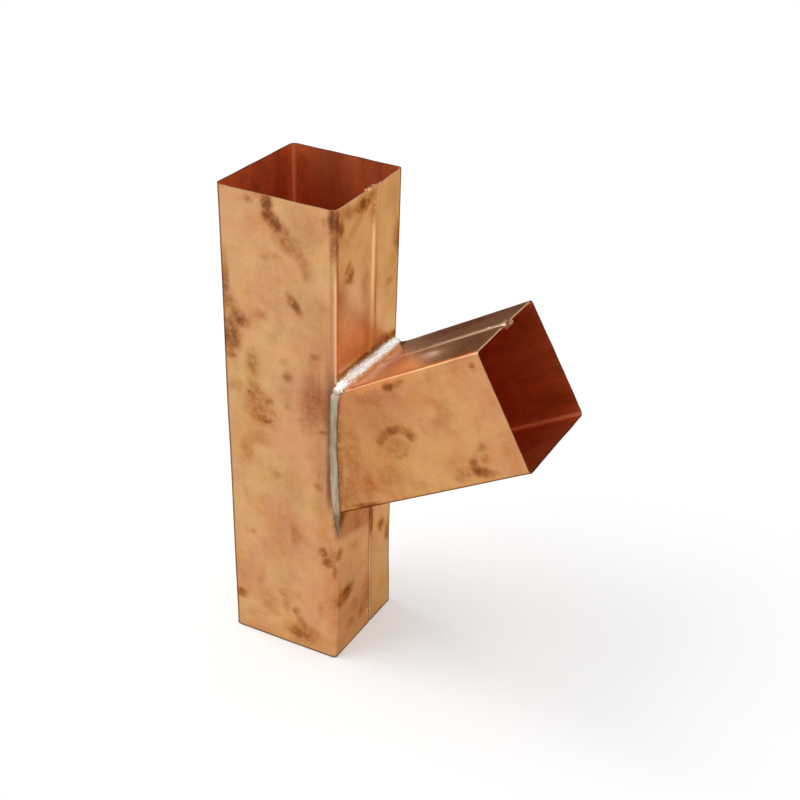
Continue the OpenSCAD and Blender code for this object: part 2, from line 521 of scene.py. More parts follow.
MAIN_FRONT_RED = [
    (-24.0, 122.3, 11.6, 3.4, 87, 0.35),
    (-13.8, 122.7, 8.3, 4.4, 18, 0.4),
    (-18.9, 109.5, 6.0, 4.4, 18, 0.35),
    (24.3, 80.9, 15.9, 4.2, -78, 0.6),
    (29.3, 38.0, 25.2, 3.4, 90, 0.5),
    (10.4, 8.1, 8.3, 5.1, -3, 0.6),
    (-15.2, 3.2, 14.7, 5.0, 4, 0.35),
    (18.7, 6.9, 11.4, 4.1, 6, 0.6),
    (23.3, 195.8, 10.1, 2.5, 90, 0.3),
    (-10.6, 136.8, 7.8, 7.6, 61, 0.6),
    (-14.0, 127.0, 6.0, 3.4, -35, 0.5),
    (-20.5, 116.0, 6.0, 3.0, 80, 0.45),
]
MAIN_FRONT_PINK = [
    (12.8, 240.3, 8.5, 6.9, 89, 0.5),
    (12.6, 223.9, 8.9, 2.2, -66, 0.4),
    (13.8, 203.3, 15.0, 6.1, 89, 0.35),
    (11.9, 183.4, 7.3, 5.2, 89, 0.35),
    (20.6, 177.0, 23.2, 6.7, 90, 0.55),
    (18.8, 151.3, 14.1, 6.9, 89, 1),
    (6.2, 156.2, 8.7, 3.2, 89, 0.5),
    (22.8, 117.4, 21.5, 2.7, 90, 0.7),
    (6.8, 103.4, 11.7, 5.6, 89, 0.5),
    (0.5, 71.1, 25.6, 7.5, 89, 0.45),
    (-20.1, 35.7, 7.8, 4.8, 21, 0.3),
]
MAIN_SIDE_BROWN = [
    (-5.8, 244.8, 5.8, 2.9, 1, 0.85),
    (0.4, 246.4, 4.4, 2.9, 2, 0.55),
    (-17.8, 245.0, 7.4, 2.5, -10, 0.55),
    (-22.9, 249.2, 3.6, 1.8, -20, 0.25),
    (-25.4, 239.8, 5.2, 2.5, -90, 0.7),
    (-12.5, 236.8, 6.8, 2.6, 34, 0.35),
    (-21.9, 231.8, 4.6, 2.2, -21, 0.3),
    (2.3, 239.9, 6.8, 2.2, -88, 0.35),
    (-19.2, 217.5, 3.2, 1.9, 50, 0.5),
    (-16.5, 213.9, 3.0, 2.2, -89, 0.65),
    (-18.3, 212.1, 3.8, 1.1, -23, 0.6),
    (-3.8, 204.1, 9.2, 2.7, -88, 0.35),
    (-3.2, 186.8, 15.7, 2.4, -88, 0.22),
    (25.7, 217.2, 8.3, 2.9, -87, 0.6),
    (22.4, 207.2, 3.2, 2.9, -87, 0.3),
    (19.1, 197.1, 2.8, 1.5, 7, 0.35),
    (16.0, 168.6, 7.0, 0.9, -5, 0.45),
    (-20.0, 35.6, 6.7, 4.0, 5, 0.8),
    (-25.2, 32.5, 3.7, 1.6, -34, 0.6),
    (-9.5, 23.4, 6.9, 6.1, 22, 0.3),
    (2.3, 23.5, 8.0, 3.8, 90, 0.4),
    (-1.0, 16.3, 6.0, 4.3, 90, 0.35),
    (-3.1, 12.4, 2.7, 2.7, -90, 0.45),
    (-14.8, 13.6, 3.4, 3.1, 4, 0.4),
    (-26.3, 64.2, 3.1, 3.0, -90, 0.6),
    (18.3, 56.7, 3.7, 2.4, -67, 0.65),
    (25.4, 48.0, 4.7, 2.3, -87, 0.6),
    (7.0, 67.1, 10.2, 1.7, -88, 0.7),
    (-11.9, 61.0, 6.6, 2.8, -15, 0.25),
]
# Painted reflection: brighter orange on the right face where it reflects the branch's top
MAIN_SIDE_PAINTED_REFLECTION = [
    (-16.2, 192.5, 15.4, 9.7, -89, 1),
    (-21.4, 177.2, 11.5, 9.8, -89, 0.9),
    (-9.6, 180.7, 9.1, 8.5, 1, 0.8),
    (7.3, 180.0, 11.0, 5.8, -88, 0.6),
    (16.0, 172.0, 12.0, 6.0, 0, 0.6),
]
MAIN_SIDE_RED = [
    (-24.3, 207.2, 4.5, 3.6, -90, 0.7),
    (14.7, 168.5, 11.9, 1.6, -5, 0.6),
    (-1.1, 176.4, 9.7, 1.8, -88, 0.35),
    (-12.8, 52.7, 8.9, 8.3, -89, 0.2),
    (2.3, 20.2, 9.3, 5.4, 90, 0.4),
]
BRANCH_FRONT_BROWN = [
    (33.3, 3.1, 5.0, 1.6, 20, 0.45),
    (39.2, 5.0, 4.8, 1.7, 5, 0.65),
    (44.9, 4.2, 2.6, 1.6, -22, 0.55),
    (47.2, 0.6, 2.4, 2.3, 7, 0.6),
    (39.2, -2.9, 6.7, 4.1, -12, 0.35),
    (38.6, -7.5, 3.6, 1.4, 5, 0.4),
    (29.0, 0.9, 2.2, 1.6, 61, 0.4),
    (47.5, 25.7, 2.3, 1.4, 3, 0.85),
    (53.0, 25.9, 3.4, 1.2, 2, 0.5),
    (37.9, 20.3, 4.7, 3.2, 61, 0.25),
    (81.7, -13.2, 2.0, 1.5, 63, 0.5),
    (81.2, -17.6, 2.0, 1.8, 63, 0.45),
    (74.2, -19.3, 2.6, 1.6, 37, 0.65),
    (75.7, -23.1, 4.5, 2.1, -19, 0.85),
    (77.5, -25.0, 1.6, 1.2, -11, 0.8),
    (67.4, -22.5, 4.3, 2.0, -11, 0.45),
    (63.6, -24.4, 2.7, 1.5, -11, 0.4),
    (81.9, -25.3, 3.0, 1.3, -19, 0.5),
    (94.6, 24.6, 0.8, 0.7, -14, 0.6),
    (62.2, -17.9, 4.2, 3.1, 63, 0.2),
    (-4.6, -13.7, 15.9, 1.6, 60, 0.5),
    (-5.4, -21.8, 8.1, 1.6, 60, 0.4),
    (0.5, -19.0, 10.0, 4.5, 60, 0.35),
    (12.3, -17.8, 5.6, 2.8, 61, 0.4),
    (3.3, -28.2, 8.6, 1.3, -5, 0.65),
    (9.7, -3.1, 12.2, 3.9, 60, 0.3),
]
BRANCH_FRONT_RED = [
    (16.2, -13.1, 16.1, 13.1, -11, 0.6),
    (29.5, -6.1, 3.4, 2.1, -12, 0.5),
    (96.1, -17.6, 10.1, 2.1, 85, 0.4),
    (64.5, -16.8, 5.3, 4.0, -11, 0.25),
    (29.2, 10.3, 18.0, 14.3, 61, 0.35),
]
BRANCH_FRONT_PINK = [
    (9.0, -4.0, 24.0, 8.0, 62, 0.35),
    (32.6, 17.4, 15.7, 14.2, 61, 0.6),
]
# Painted reflection: brighter orange on the branch's top where it reflects the main pipe's side
BRANCH_TOP_PAINTED_REFLECTION = [
    (41.3, -19.5, 15.4, 14.0, -2, 1),
    (54.0, -16.0, 13.0, 14.5, -89, 1),
    (30.0, -5.0, 20.0, 14.0, 0, 1),
]
# Brown stains on the branch's top, partly a painted dark reflection on the far strip and near the
# mouth
BRANCH_TOP_BROWN_AND_DARK_REFLECTION = [
    (88.0, -14.0, 15.0, 9.0, -80, 0.7),
    (75.0, 18.0, 25.3, 8.0, 3, 0.45),
    (62.0, 22.0, 20.0, 4.5, 0, 0.8),
]
# Soot inside the pipes: centre, half sizes and depth, in x, y, z and along, across, above.
MAIN_INSIDE_SOOT = [
    ((-6.0, HALF, 225.0), (17.0, 10.0, 90.0), 0.9),
    ((-HALF, 19.0, 225.0), (10.0, 11.0, 80.0), 0.7),
]
BRANCH_INSIDE_SOOT = [
    ((92.0, HALF, -18.0), (16.0, 10.0, 12.0), 1.0),
    ((92.0, HALF, 20.0), (16.0, 10.0, 12.0), 0.7),
    ((70.0, HALF, 12.0), (40.0, 10.0, 6.0), 0.5),
]
# Stains on the main pipe's front bend: height, half length, half width, depth.
MAIN_BEND_BROWN = [
    (245.0, 12.0, 5.2, 1.0),
    (233.0, 13.0, 4.0, 0.7),
    (55.0, 9.0, 2.6, 0.5),
]
# A smudge fades out towards its rim, so a mark's half sizes grow by this share and this margin;
# it also reaches this deep, which holds it on a sheet that is shaken about.
MARK_SHARE = 2.0
MARK_MARGIN = 1.0
MARK_DEEP = 6.0


def marks(finish, where, face, level, listed):
    """The marks of one list together, on the face that lies at the given level."""
    total = None
    for along, across, half_long, half_wide, degrees, depth in listed:
        turn = radians(degrees)
        long = MARK_SHARE * half_long + MARK_MARGIN
        wide = MARK_SHARE * half_wide + MARK_MARGIN
        centre, sizes, turned = {
            "front": ((along, level, across), (long, MARK_DEEP, wide), (0, -turn, 0)),
            "side": ((level, along, across), (MARK_DEEP, long, wide), (turn, 0, 0)),
            "top": ((along, across, level), (long, wide, MARK_DEEP), (0, 0, turn)),
        }[face]
        one = finish.smudge(where, centre, sizes, turned) * depth
        total = one if total is None else total.higher_of(one)
    return total


class Stains:
    """What is painted on a sheet, each from 0 to 1: brown smears (on the branch's top partly a
    painted dark reflection), red heat tint, rosy film, painted orange reflection, painted shade
    along the outer bends and seams, and a painted highlight."""

    def __init__(self, brown, red, rosy, clean, shade, glint):
        self.brown = brown
        self.red = red
        self.rosy = rosy
        self.clean = clean
        self.shade = shade
        self.glint = glint


def unevenly(finish, where):
    """where, moved about as finger marks and flux wander, in large and small steps."""
    return finish.shaken(finish.shaken(where, 9.0, 1.5, 1.0), 2.3, 1.3, 2.0)


def copper(
    finish,
    where,
    ground,
    stains,
    dull=0.0,
    hazy=0.5,
    edge_tint=GRAZING_TINT,
    painted_highlight=rgb(1.0, 0.59, 0.32),
    reflected_orange=rgb(0.98, 0.56, 0.29),
    satin=0.35,
):
    """Bare sheet copper after handling: a clouded tan ground with the stains on it, and painted
    shade, painted reflection and painted highlight. dull adds roughness, hazy deepens the smoky
    patches, and satin is how far the parts under the painted reflection lose their shine."""
    clouds = finish.grain(where, 34.0, 3.0, 0.5, 3.0, 0.4)
    ground = finish.tinted(finish.climb(clouds, 0.44, 0.66), ground, rgb(0.97, 0.87, 0.92))
    ground = finish.tinted(finish.climb(clouds, 0.5, 0.3), ground, rgb(1.0, 1.03, 0.93))
    warm = finish.patches(where, 10.0, 0.48, 0.68, 11.0)
    ground = finish.tinted(0.8 * warm, ground, rgb(1.0, 0.9, 0.76))
    cool = finish.patches(where, 12.0, 0.5, 0.7, 12.0)
    ground = finish.tinted(0.8 * cool, ground, rgb(0.92, 0.9, 0.95))
    haze = finish.patches(finish.shaken(where, 5.0, 3.0, 3.0), 14.0, 0.47, 0.74, 10.0, 5.0)
    ground = finish.tinted(hazy * haze, ground, rgb(0.78, 0.66, 0.58))

    mottle = finish.grain(where, 6.5, 4.0, 0.62, 4.0, 0.3)
    rolled = finish.grain(where, (26.0, 26.0, 0.6), 3.0, 0.6, 5.0)
    wiped = finish.grain(where, (0.8, 0.8, 16.0), 3.0, 0.6, 6.0)
    fine = finish.grain(where, 0.9, 3.0, 0.7, 8.0)
    level = 0.68 + 0.26 * mottle + 0.14 * rolled + 0.1 * wiped + 0.16 * fine
    ground = finish.dimmed(ground, level)

    broken = finish.climb(finish.grain(where, 3.3, 5.0, 0.68, 7.0, 0.3), 0.33, 0.63)
    dust = finish.climb(finish.grain(where, 1.5, 2.0, 0.5, 9.0), 0.69, 0.78)
    # Painted reflection: brighter orange metal, less metallic and smoother where it lies
    clean = stains.clean * (0.8 + 0.3 * broken)
    ground = finish.blended(clean, ground, reflected_orange)
    rosy = stains.rosy * (0.6 + 0.5 * finish.climb(wiped, 0.36, 0.62))
    ground = finish.tinted(rosy, ground, ROSY_FILM)
    ground = finish.tinted(stains.red * (0.65 + 0.5 * broken), ground, HEAT_TINT)
    brown = (stains.brown * (0.68 + 0.55 * broken)).higher_of(0.4 * dust)
    ground = finish.tinted(finish.climb(brown, 0.0, 0.6), ground, THIN_BROWN)
    ground = finish.tinted(finish.climb(brown, 0.35, 1.0), ground, THICK_BROWN)
    # Painted shade along bends, seams, the foot and beside the side bead
    ground = finish.tinted(stains.shade, ground, COOL_SHADE)
    # Painted highlight: a bright line on bends and seam folds
    ground = finish.blended(stains.glint, ground, painted_highlight)

    roughness = 0.31 + dull + 0.14 * brown + 0.08 * mottle - 0.08 * stains.clean
    height = 0.05 * mottle + 0.012 * rolled + 0.012 * wiped + 0.008 * fine
    metallic = 1.0 - satin * stains.clean
    return finish.done(ground, metallic, roughness, height, Specular_Tint=edge_tint)


def beside_side_bead(finish, uneven, y, z):
    """The front face's strip next to the side bead and above it, where the flame went; it carries
    heat tint, and painted shade right next to the bead.
    """
    strip = finish.climb(finish.part_of(uneven)[0], 20.0, 27.0) * finish.climb(z, 84.0, 104.0)
    return strip * finish.climb(z, 220.0, 166.0) * finish.climb(y, -28.0, -29.3)


def below_branch(finish, uneven, x, y, z):
    """The part of the right face under the branch that the flame has turned."""
    slanted = z + 0.283 * finish.part_of(uneven)[1]
    heated = finish.climb(slanted, 63.0, 69.5) * finish.climb(x, HALF - 1.2, HALF - 0.5)
    return heated * finish.climb(z, 126.0, 122.0) * finish.climb(y, 9.5, 7.0)


def main_brown(finish, uneven, x, y, z):
    """The main pipe's brown smears: the listed ones, strewn ones mostly on the sides that have
    none listed, and the flux line above the top bead."""
    brown = marks(finish, uneven, "front", -HALF, MAIN_FRONT_BROWN)
    brown = brown.higher_of(marks(finish, uneven, "side", HALF, MAIN_SIDE_BROWN))
    for height, half_long, half_wide, depth in MAIN_BEND_BROWN:
        centre, sizes = (HALF - 0.9, 0.9 - HALF, height), (half_wide, half_wide, half_long)
        brown = brown.higher_of(finish.smudge(uneven, centre, sizes) * depth)
    unlisted = finish.climb(x, HALF - 6, HALF - 14).higher_of(finish.climb(y, 22.0, 28.0))
    unlisted = unlisted * finish.climb(y, 3 - HALF, 9 - HALF)
    strewn = finish.patches(uneven, 24.0, 0.54, 0.78, 9.0) * (0.12 + 0.6 * unlisted)
    off_line = abs(z - (FOOT_TOP + 6.4))
    flux = finish.climb(x, HALF - 1.0, HALF - 0.4) * finish.climb(off_line, 3.4, 0.8)
    return brown.higher_of(strewn).higher_of(0.7 * flux)


def main_shade(finish, x, y, z):
    """Painted shade along the main pipe's outer bends, at its foot and in its seam."""
    near_bend = x.lower_of(-y)
    shade = 0.28 * finish.climb(near_bend, 26.7, 27.6) * finish.climb(abs(x + y), 0.3, 1.6)
    shade = shade * finish.climb(z, 120.0, 160.0)
    left_bend = finish.climb(x, -27.3, -28.4) * finish.climb(y, -28.2, -29.2)
    back_bend = finish.climb(y, 26.4, 27.4) * finish.climb(x, 28.6, 29.4)
    shade = shade.higher_of(0.85 * left_bend).higher_of(back_bend)
    shade = shade.higher_of(finish.climb(z, 1.3, 0.5))
    groove = finish.climb(abs(y - (MAIN_GROOVE + 1.3)), 1.8, 0.4) * finish.climb(
        x, HALF - 1.0, HALF - 0.4
    )
    ledge = finish.climb(abs(y - (MAIN_GROOVE - 0.6)), 1.3, 0.5) * finish.climb(
        x, HALF - 1.4, HALF - 0.4
    )
    shade = shade.higher_of(0.14 * groove)
    return shade.higher_of(0.55 * ledge * finish.climb(z, 165.0, 120.0))


def main_glint(finish, where, x, y, z, brown):
    """Painted highlight on the main pipe's front bend and on the raised fold of its seam, where no
    brown covers it."""
    painted_highlight = finish.climb(z, 158.0, 163.0) * finish.climb(z, 222.0, 212.0)
    line = finish.climb(abs(x + y - 0.8), 1.3, 0.2) * finish.climb(x.lower_of(-y), 27.8, 28.6)
    fold = finish.climb(abs(y - 0.02 * z - (MAIN_GROOVE - 7.0)), 1.9, 0.7) * finish.climb(
        x, HALF - 1.4, HALF - 0.6
    )
    highlight_strength = 0.06 + 0.3 * finish.climb(z, 150.0, 175.0) + 0.55 * finish.climb(z, 188.0, 204.0)
    fold = fold * highlight_strength * finish.climb(z, 238.0, 226.0)
    highlight_breakup = finish.climb(finish.grain(where, (9.0, 9.0, 20.0), 3.0, 0.6, 15.0), 0.3, 0.5)
    glint = (0.85 * line * painted_highlight).higher_of(fold * (0.75 + 0.25 * highlight_breakup))
    return glint * finish.climb(brown, 0.95, 0.6)


def main_outside():
    finish = Finish("copper_main_outside")
    where = finish.place()
    uneven = unevenly(finish, where)
    x, y, z = finish.part_of(where)

    beside_run = beside_side_bead(finish, uneven, y, z)
    beside = finish.climb(x, 23.5, 27.0) * beside_run * finish.climb(z, 185.0, 150.0)
    # The bead's tail: a brown stain with painted shade over it
    tail = finish.smudge(uneven, (30.5, -25.5, 86.0), (4.5, 10.0, 12.0))
    heated = below_branch(finish, uneven, x, y, z)

    brown = main_brown(finish, uneven, x, y, z).higher_of(0.25 * beside)
    brown = brown.higher_of(0.6 * tail).higher_of(0.12 * heated)
    red = marks(finish, uneven, "front", -HALF, MAIN_FRONT_RED)
    red = red.higher_of(marks(finish, uneven, "side", HALF, MAIN_SIDE_RED))
    red = red.higher_of(0.25 * finish.patches(uneven, 24.0, 0.5, 0.75, 13.0))
    red = red.higher_of(0.2 * heated)
    rosy = marks(finish, uneven, "front", -HALF, MAIN_FRONT_PINK)
    rosy = rosy.higher_of(0.9 * beside_run).higher_of(heated)
    # Painted reflection: brighter orange on the right face above the branch
    clean = marks(finish, uneven, "side", HALF, MAIN_SIDE_PAINTED_REFLECTION)
    # Painted shade next to the side bead and around its tail, over the heat stains there
    shade = main_shade(finish, x, y, z).higher_of(0.7 * beside).higher_of(0.5 * tail)
    glint = main_glint(finish, where, x, y, z, brown)
    stains = Stains(brown, red, rosy, clean, shade, glint)

    # Painted light: the right face's ground is lighter than the front's, most of all low down, where
    # it reflects the floor's shadow
    right = finish.climb(x, HALF - 2.4, HALF - 0.8) * finish.climb(x + y, 0.6, 2.6)
    right_ground = finish.blended(
        finish.climb(z, 90.0, 165.0), rgb(0.77, 0.445, 0.22), rgb(0.68, 0.375, 0.172)
    )
    ground = finish.blended(right, rgb(0.655, 0.37, 0.172), right_ground)
    return copper(finish, where, ground, stains, satin=0.35 + 0.2 * finish.climb(z, 172.0, 200.0))


def branch_brown(finish, uneven, x, y, z, v):
    """The branch's brown smears: the listed ones, those on the top partly a painted dark reflection,
    strewn ones mostly on the sides that have none listed, and the stain along the joint, which is
    darker low down."""
    brown = marks(finish, uneven, "front", -HALF, BRANCH_FRONT_BROWN)
    brown = brown.higher_of(marks(finish, uneven, "top", HALF, BRANCH_TOP_BROWN_AND_DARK_REFLECTION))
    unlisted = finish.climb(y, 3 - HALF, 9 - HALF) * finish.climb(v, HALF - 4, HALF - 9)
    strewn = finish.patches(uneven, 22.0, 0.54, 0.78, 17.0) * (0.14 + 0.6 * unlisted)
    beside_run = finish.climb(x, 34.8, 31.2) * finish.climb(y, 3 - HALF, 1 - HALF)
    low = finish.climb(z, 112.0, 96.0)
    return brown.higher_of(strewn).higher_of(beside_run * (0.45 + 0.3 * low))


def branch_shade(finish, y, v):
    """Painted shade along the branch's outer bends and seam and on its top front bend, where it dims
    the lamp's highlight, and a painted dark reflection on the far strip of its top.
    """
    bottom_bend = finish.climb(v, -28.3, -29.2) * finish.climb(y, -28.4, -29.2)
    back_bend = 0.7 * finish.climb(y, 27.6, 29.0) * finish.climb(v, 28.4, 29.2)
    groove = finish.climb(abs(y - (BRANCH_GROOVE - 1.0)), 0.9, 0.3) * finish.climb(
        v, HALF - 1.0, HALF - 0.4
    )
    far_strip = finish.climb(y, 13.0, 29.0) * finish.climb(v, HALF - 3.0, HALF - 1.0)
    shade = bottom_bend.higher_of(back_bend).higher_of(0.3 * groove)
    shade = shade.higher_of(0.55 * finish.climb(v.lower_of(-y), 28.3, 29.2))
    return shade.higher_of(0.3 * far_strip)


def branch_outside():
    finish = Finish("copper_branch_outside")
    where = finish.branch_place()
    uneven = unevenly(finish, where)
    u, y, v = finish.part_of(where)
    x, _, z = finish.part_of(finish.place())

    # Painted highlights: a bright line on the seam's raised fold, which also takes painted
    # reflection, and a faint one on the top front bend
    fold = finish.climb(abs(y - (BRANCH_GROOVE + 1.1)), 2.9, 1.8) * finish.climb(
        v, HALF - 1.4, HALF - 0.6
    )
    fold = fold * finish.climb(u, 22.0, 45.0)
    line = finish.climb(abs(v + y), 1.4, 0.3) * finish.climb(v.lower_of(-y), 28.2, 29.0)
    # Painted reflection: a pale patch on the branch's top where light shows between darker
    # reflections
    pale_reflection = finish.smudge(uneven, (64.0, -10.5, HALF), (7.0, 18.0, 6.0), (0, 0, radians(45)))

    heat = finish.climb(x, 52.0, 32.0) * finish.climb(v, HALF - 0.5, HALF - 1.5)
    red = marks(finish, uneven, "front", -HALF, BRANCH_FRONT_RED).higher_of(0.5 * heat)
    rosy = 0.25 * finish.climb(x, 38.0, 34.0) * finish.climb(v, HALF - 1.5, HALF - 0.6)
    rosy = rosy.higher_of(marks(finish, uneven, "front", -HALF, BRANCH_FRONT_PINK))
    # Painted reflection: brighter orange on the branch's top near the joint, on the pale patch and
    # the fold
    clean = marks(finish, uneven, "top", HALF, BRANCH_TOP_PAINTED_REFLECTION).higher_of(pale_reflection)
    stains = Stains(
        branch_brown(finish, uneven, x, y, z, v),
        red,
        rosy,
        clean.higher_of(0.8 * fold * finish.climb(u, 45.0, 60.0)),
        branch_shade(finish, y, v),
        (0.95 * fold).higher_of(0.13 * line),
    )

    # Painted light: the top's ground is lighter than the front's, to lift the top where it reflects
    # the dark card
    top = finish.climb(v, HALF - 2.0, HALF - 0.6) * finish.climb(v + y, 0.6, 2.0)
    ground = finish.blended(top, rgb(0.625, 0.325, 0.132), rgb(0.85, 0.48, 0.28))
    return copper(
        finish,
        where,
        ground,
        stains,
        dull=-0.08,
        hazy=0.8,
        edge_tint=rgb(0.82, 0.54, 0.36),
        painted_highlight=rgb(1.0, 0.69, 0.47),
        reflected_orange=finish.blended(pale_reflection, rgb(0.98, 0.4, 0.11), rgb(1.0, 0.59, 0.38)),
        satin=0.6 + 0.35 * pale_reflection,
    )


def inside(finish, where, corner, ground, lengthwise, soot, metallic):
    """The sheet's inner side: cleaner and deep red, the red partly painting light bounced between
    the walls, with long wipe marks and painted highlights along the bends; corner grows towards the
    bends."""
    bands = finish.grain(where, tuple(7.0 * size for size in lengthwise), 4.0, 0.6, 1.0, 0.5)
    threads = finish.grain(where, tuple(1.1 * size for size in lengthwise), 3.0, 0.6, 2.0)
    fine = finish.grain(where, 1.1, 3.0, 0.65, 3.0)
    colour = finish.dimmed(ground, 0.5 + 0.56 * bands + 0.28 * threads + 0.16 * fine)
    lit = finish.patches(finish.shaken(where, 8.0, 5.0, 4.0), 16.0, 0.56, 0.72, 5.0)
    colour = finish.blended(0.45 * lit, colour, rgb(1.0, 0.46, 0.2))
    sooty = 0.7 * finish.patches(finish.shaken(where, 6.0, 4.0, 6.0), 18.0, 0.5, 0.7, 7.0)
    uneven = finish.shaken(where, 7.0, 5.0, 8.0)
    for centre, sizes, depth in soot:
        sooty = sooty.higher_of(depth * finish.smudge(uneven, centre, sizes))
    colour = finish.tinted(sooty, colour, SOOT)
    # Painted highlight: lighter, smoother and less metallic along the inner bends
    bend = (0.2 * finish.climb(corner, 23.5, 26.5)).higher_of(finish.climb(corner, 27.2, 28.4))
    colour = finish.blended(0.9 * bend, colour, rgb(1.0, 0.42, 0.19))
    roughness = 0.26 + 0.1 * bands + 0.1 * sooty - 0.16 * bend
    height = 0.05 * bands + 0.03 * threads + 0.01 * fine
    metallic = metallic - 0.5 * bend
    return finish.done(colour, metallic, roughness, height, Specular_Tint=GRAZING_TINT)


def main_inside():
    finish = Finish("copper_main_inside")
    where = finish.place()
    x, y, _ = finish.part_of(where)
    corner = abs(x).lower_of(abs(y))
    ground = rgb(0.95, 0.35, 0.13)
    return inside(finish, where, corner, ground, (1.0, 1.0, 6.0), MAIN_INSIDE_SOOT, 0.8)


def branch_inside():
    finish = Finish("copper_branch_inside")
    where = finish.branch_place()
    _, y, v = finish.part_of(where)
    corner = abs(y).lower_of(abs(v))
    ground = rgb(1.0, 0.31, 0.1)
    return inside(finish, where, corner, ground, (6.0, 1.0, 1.0), BRANCH_INSIDE_SOOT, 0.88)


def cut_edge(finish, where, away, torn):
    """Sheared edge of the sheet: bright where away is high, as painted highlight, dark on the far
    sides, as painted shade, and pitted where it is torn."""
    y = finish.part_of(where)[1]
    dragged = finish.grain(where, 0.9, 3.0, 0.6, 1.0)
    patches = finish.climb(finish.grain(where, 6.0, 3.0, 0.6, 2.0), 0.4, 0.62)
    colour = finish.blended(patches, rgb(0.5, 0.3, 0.17), rgb(0.36, 0.19, 0.1))
    # Painted highlight on the near rims
    colour = finish.blended(0.75 * finish.climb(away, 27.0, 29.2), colour, rgb(0.75, 0.46, 0.31))
    # Painted shade on the far rims
    far = finish.climb(y, 26.0, 28.8).higher_of(
        finish.climb(away, -26.0, -28.8) * finish.climb(y, -29.7, -28.6)
    )
    colour = finish.tinted(far, colour, rgb(0.1, 0.08, 0.08))
    pitted = finish.climb(finish.grain(where, 1.3, 3.0, 0.7, 3.0), 0.58, 0.42)
    colour = finish.tinted(torn * pitted, colour, rgb(0.3, 0.2, 0.15))
    return finish.done(
        finish.dimmed(colour, 0.8 + 0.3 * dragged),
        1.0 - 0.1 * dragged,
        0.34 + 0.2 * dragged,
        0.03 * dragged,
        Specular_Tint=GRAZING_TINT,
    )


def main_edge():
    finish = Finish("copper_main_edge")
    where = finish.place()
    x, y, _ = finish.part_of(where)
    torn = 0.5 * finish.climb(abs(y - MAIN_GROOVE), 6.0, 4.5) * finish.climb(x, 26.0, 28.0)
    return cut_edge(finish, where, x, torn)


def branch_edge():
    finish = Finish("copper_branch_edge")
    where = finish.branch_place()
    _, y, v = finish.part_of(where)
    torn = finish.climb(abs(y - (BRANCH_GROOVE + 0.5)), 6.0, 4.5) * finish.climb(v, 26.0, 28.0)
    return cut_edge(finish, where, v, torn)


def solder_finish():
    """Frosty granular tin-lead on the top bead, dull wiped runs down the sides."""
    finish = Finish("solder")
    where = finish.place()
    x, y, z = finish.part_of(where)
    top = finish.climb(z, FOOT_TOP - 6.0, FOOT_TOP - 0.5)

    grains = finish.grain(where, 1.2, 3.0, 0.65, 1.0, 0.5)
    pits = finish.climb(finish.grain(where, 1.7, 3.0, 0.65, 2.0, 0.8), 0.4, 0.27)
    bright = finish.blended(
        finish.climb(grains, 0.36, 0.58), rgb(0.9, 0.88, 0.82), rgb(1.0, 1.0, 0.97)
    )
    # Painted shade darkens the pits
    bright = finish.tinted(0.6 * pits, bright, rgb(0.38, 0.34, 0.3))
    crest = 0.5 * (x - HALF) + 0.866 * (z - FOOT_TOP)
    bright = finish.tinted(finish.climb(crest, 3.9, 1.8), bright, rgb(0.56, 0.47, 0.4))

    streaks = finish.grain(where, (0.9, 0.9, 15.0), 4.0, 0.65, 3.0)
    patches = finish.grain(where, 6.0, 3.0, 0.6, 4.0)
    dull = finish.blended(
        finish.climb(streaks, 0.38, 0.62), rgb(0.36, 0.275, 0.18), rgb(0.54, 0.42, 0.29)
    )
    dull = finish.blended(0.5 * finish.climb(patches, 0.5, 0.68), dull, rgb(0.56, 0.46, 0.36))
    dull = finish.tinted(finish.climb(x, 29.6, 27.6), dull, rgb(0.66, 0.72, 0.6))
    low = finish.climb(abs(y), HALF + 0.75, HALF + 0.25)
    dull = finish.tinted(0.8 * low, dull, rgb(0.36, 0.32, 0.26))

    colour = finish.blended(top, dull, bright)
    roughness = 0.44 - 0.06 * top + 0.12 * grains
    height = 0.12 * grains * top + 0.06 * streaks - 0.12 * pits * top
    return finish.done(colour, 0.7 + 0.25 * top, roughness, height)


def main_pipe():
    faces = sorted(spread(-27.0, 27.0, 3.0) + [-26.75, 26.75])
    steps = (-7.1, -6.6, -5.0, -3.5, -2.0, -1.0, -0.5, 0.0, 1.1, 2.5, 3.9, 4.4, 6.0)
    seam = [MAIN_GROOVE + step for step in steps]
    heights = spread(2.5, 232.5, 2.5) + spread(234.0, 246.0, 1.5) + [247.2, 248.2, 249.1]
    shape = sliced(
        "main_pipe",
        [
            (Vector(), Vector((0, 0, 1)), heights),
            (Vector(), Vector((1, 0, 0)), faces),
            (Vector(), SIDEWAYS, sorted(set(faces) | set(seam))),
        ],
    )
    for face in shape.faces:
        middle = face.calc_center_median()
        outside = on_outside(middle.x, middle.y, MAIN_BEND)
        in_groove = abs(middle.y - MAIN_GROOVE) < GROOVE_HALF and middle.x > HALF - GROOVE_HALF
        rim = abs(face.normal.z) > 0.9 and (middle.z > MAIN_TOP - 0.1 or middle.z < 0.1)
        face.material_index = EDGE if rim else OUTER if outside or in_groove else INNER
    bent(shape, hand_folded, main_end, pressed_foot)
    finishes = [main_outside(), main_inside(), main_edge()]
    made = piece("main_pipe_sheet", shape, "main_pipe", finishes)
    smooth_but_creased(made.data, 32)


